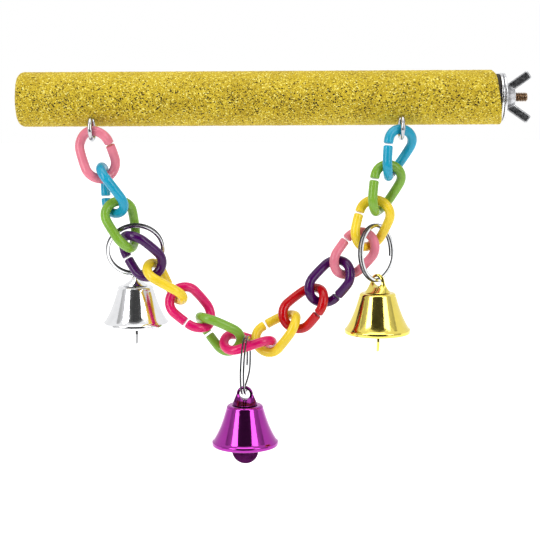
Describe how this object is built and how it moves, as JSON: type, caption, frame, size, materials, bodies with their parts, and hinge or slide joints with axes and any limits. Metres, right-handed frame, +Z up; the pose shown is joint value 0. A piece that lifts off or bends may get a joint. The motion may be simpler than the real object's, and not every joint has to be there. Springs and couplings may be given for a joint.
{
  "type": "bolt-on cage perch with hanging chain and bells",
  "caption": "Grit-coated cage perch that clamps to bars by a bolt and wing nut, with a swag of twisted plastic links hung from two screw eyes and bells on split rings.",
  "frame": {"origin": "middle of the clamp plane, the outer face of the inner washer, on the bolt's axis", "axes": "+X along the bolt, out of the cage side; +Z up as it hangs in use; the bar runs along -X"},
  "size_m": [0.2134, 0.0463, 0.1616],
  "materials": {
    "sand_grit": "coarse yellow grit bound with glue",
    "wood": "plain turned dowel",
    "bolt_steel": "yellow-passivated steel",
    "zinc_steel": "bright zinc",
    "cast_nut": "zinc-plated casting",
    "eye_wire": "nickel-plated wire",
    "ring_steel": "polished spring steel",
    "pale_pink_plastic": "moulded, glossy",
    "blue_plastic": "moulded, glossy",
    "green_plastic": "moulded, glossy",
    "purple_plastic": "moulded, glossy",
    "yellow_plastic": "moulded, glossy",
    "hot_pink_plastic": "moulded, glossy",
    "red_plastic": "moulded, glossy",
    "silver_bell": "mirror plated",
    "magenta_bell": "mirror plated under a clear tint",
    "gold_bell": "mirror plated"
  },
  "bodies": {
    "perch": {"sand_coat": "sand_grit", "dowel_core": "wood", "hanger_bolt": "bolt_steel", "inner_washer": "zinc_steel", "left_screw_eye": "eye_wire", "right_screw_eye": "eye_wire"},
    "outer_washer": {"outer_washer": "zinc_steel"},
    "wing_nut": {"wing_nut": "cast_nut"},
    "chain": {"link_08": "hot_pink_plastic"},
    "link_01": {"link_01": "pale_pink_plastic"},
    "link_02": {"link_02": "blue_plastic"},
    "link_03": {"link_03": "green_plastic"},
    "link_04": {"link_04": "purple_plastic"},
    "link_05": {"link_05": "yellow_plastic"},
    "link_06": {"link_06": "hot_pink_plastic"},
    "link_07": {"link_07": "green_plastic"},
    "link_09": {"link_09": "yellow_plastic"},
    "link_10": {"link_10": "red_plastic"},
    "link_11": {"link_11": "purple_plastic"},
    "link_12": {"link_12": "pale_pink_plastic"},
    "link_13": {"link_13": "yellow_plastic"},
    "link_14": {"link_14": "green_plastic"},
    "link_15": {"link_15": "blue_plastic"},
    "left_ring": {"left_split_ring": "ring_steel"},
    "left_bell": {"left_bell_shell": "silver_bell", "left_bell_crown": "silver_bell"},
    "left_clapper": {"left_clapper": "silver_bell"},
    "middle_ring": {"middle_split_ring": "ring_steel"},
    "middle_bell": {"middle_bell_shell": "magenta_bell", "middle_bell_crown": "magenta_bell"},
    "middle_clapper": {"middle_clapper": "magenta_bell"},
    "right_ring": {"right_split_ring": "ring_steel"},
    "right_bell": {"right_bell_shell": "gold_bell", "right_bell_crown": "gold_bell"},
    "right_clapper": {"right_clapper": "gold_bell"}
  },
  "joints": [
    {"name": "washer_slide", "type": "slide", "parent": "perch", "child": "outer_washer", "axis": [1, 0, 0], "range_m": [0, 0.00559]},
    {"name": "nut_turn", "type": "hinge", "parent": "outer_washer", "child": "wing_nut", "pos_m": [0, 0, 0], "axis": [1, 0, 0], "range_deg": [0, 2880]},
    {"name": "chain_swing", "type": "hinge", "parent": "perch", "child": "chain", "pos_m": [-0.106, -0.01188, -0.01188], "axis": [1, 0, 0], "range_deg": [-90, 55]},
    {"name": "link_01_roll", "type": "hinge", "parent": "chain", "child": "link_01", "pos_m": [-0.16744, -0.01188, -0.02245], "axis": [0.3144, 0, -0.9493], "range_deg": [-5, 5]},
    {"name": "link_02_roll", "type": "hinge", "parent": "chain", "child": "link_02", "pos_m": [-0.16251, -0.01188, -0.03701], "axis": [0.3269, 0, -0.9451], "range_deg": [-6, 5]},
    {"name": "link_03_roll", "type": "hinge", "parent": "chain", "child": "link_03", "pos_m": [-0.15739, -0.01188, -0.05149], "axis": [0.3402, 0, -0.9403], "range_deg": [-7, 6]},
    {"name": "link_04_roll", "type": "hinge", "parent": "chain", "child": "link_04", "pos_m": [-0.15025, -0.01188, -0.06405], "axis": [0.6343, 0, -0.7731], "range_deg": [-9, 9]},
    {"name": "link_05_roll", "type": "hinge", "parent": "chain", "child": "link_05", "pos_m": [-0.14024, -0.01188, -0.07559], "axis": [0.6756, 0, -0.7373], "range_deg": [-8, 8]},
    {"name": "link_06_roll", "type": "hinge", "parent": "chain", "child": "link_06", "pos_m": [-0.12959, -0.01188, -0.08651], "axis": [0.72, 0, -0.694], "range_deg": [-7, 9]},
    {"name": "link_07_roll", "type": "hinge", "parent": "chain", "child": "link_07", "pos_m": [-0.11825, -0.01188, -0.09669], "axis": [0.7671, 0, -0.6415], "range_deg": [-8, 7]},
    {"name": "link_09_roll", "type": "hinge", "parent": "chain", "child": "link_09", "pos_m": [-0.09375, -0.01188, -0.09669], "axis": [0.7671, 0, 0.6415], "range_deg": [-14, 14]},
    {"name": "link_10_roll", "type": "hinge", "parent": "chain", "child": "link_10", "pos_m": [-0.08241, -0.01188, -0.08651], "axis": [0.72, 0, 0.694], "range_deg": [-14, 12]},
    {"name": "link_11_roll", "type": "hinge", "parent": "chain", "child": "link_11", "pos_m": [-0.07176, -0.01188, -0.07559], "axis": [0.6756, 0, 0.7373], "range_deg": [-12, 6]},
    {"name": "link_12_roll", "type": "hinge", "parent": "chain", "child": "link_12", "pos_m": [-0.06175, -0.01188, -0.06405], "axis": [0.6343, 0, 0.7731], "range_deg": [-6, 4]},
    {"name": "link_13_roll", "type": "hinge", "parent": "chain", "child": "link_13", "pos_m": [-0.05461, -0.01188, -0.05149], "axis": [0.3402, 0, 0.9403], "range_deg": [-4, 1.5]},
    {"name": "link_14_roll", "type": "hinge", "parent": "chain", "child": "link_14", "pos_m": [-0.04949, -0.01188, -0.03701], "axis": [0.3269, 0, 0.9451], "range_deg": [-15, 5]},
    {"name": "link_15_roll", "type": "hinge", "parent": "chain", "child": "link_15", "pos_m": [-0.04456, -0.01188, -0.02245], "axis": [0.3144, 0, 0.9493], "range_deg": [-5, 6]},
    {"name": "left_ring_swing", "type": "hinge", "parent": "chain", "child": "left_ring", "pos_m": [-0.15258, -0.00988, -0.05491], "axis": [-0.129, 0.9182, 0.3746], "range_deg": [-6, 30]},
    {"name": "left_bell_swing", "type": "hinge", "parent": "left_ring", "child": "left_bell", "pos_m": [-0.15359, -0.00264, -0.07298], "axis": [0.9903, 0.1392, 0], "range_deg": [-15, 60]},
    {"name": "left_clapper_swing", "type": "hinge", "parent": "left_bell", "child": "left_clapper", "pos_m": [-0.15359, -0.00264, -0.08428], "axis": [0.9903, 0.1392, 0], "range_deg": [-25, 25]},
    {"name": "middle_ring_swing", "type": "hinge", "parent": "chain", "child": "middle_ring", "pos_m": [-0.10672, -0.02159, -0.10077], "axis": [-0.9939, 0.1045, 0.0349], "range_deg": [-12, 5]},
    {"name": "middle_bell_swing", "type": "hinge", "parent": "middle_ring", "child": "middle_bell", "pos_m": [-0.1074, -0.02152, -0.12026], "axis": [0.1045, 0.9945, 0], "range_deg": [-60, 60]},
    {"name": "middle_clapper_swing", "type": "hinge", "parent": "middle_bell", "child": "middle_clapper", "pos_m": [-0.1074, -0.02152, -0.13156], "axis": [0.1045, 0.9945, 0], "range_deg": [-25, 25]},
    {"name": "right_ring_swing", "type": "hinge", "parent": "chain", "child": "right_ring", "pos_m": [-0.05295, -0.01054, -0.05573], "axis": [-0.7861, 0.6142, -0.0698], "range_deg": [-6, 5]},
    {"name": "right_bell_swing", "type": "hinge", "parent": "right_ring", "child": "right_bell", "pos_m": [-0.05188, -0.01138, -0.07518], "axis": [0.6157, 0.788, 0], "range_deg": [-60, 15]},
    {"name": "right_clapper_swing", "type": "hinge", "parent": "right_bell", "child": "right_clapper", "pos_m": [-0.05188, -0.01138, -0.08648], "axis": [1, 0, 0], "range_deg": [-25, 25]}
  ],
  "couplings": [
    {"joint": "nut_turn", "follows": "washer_slide", "rad_per_m": 8976}
  ]
}
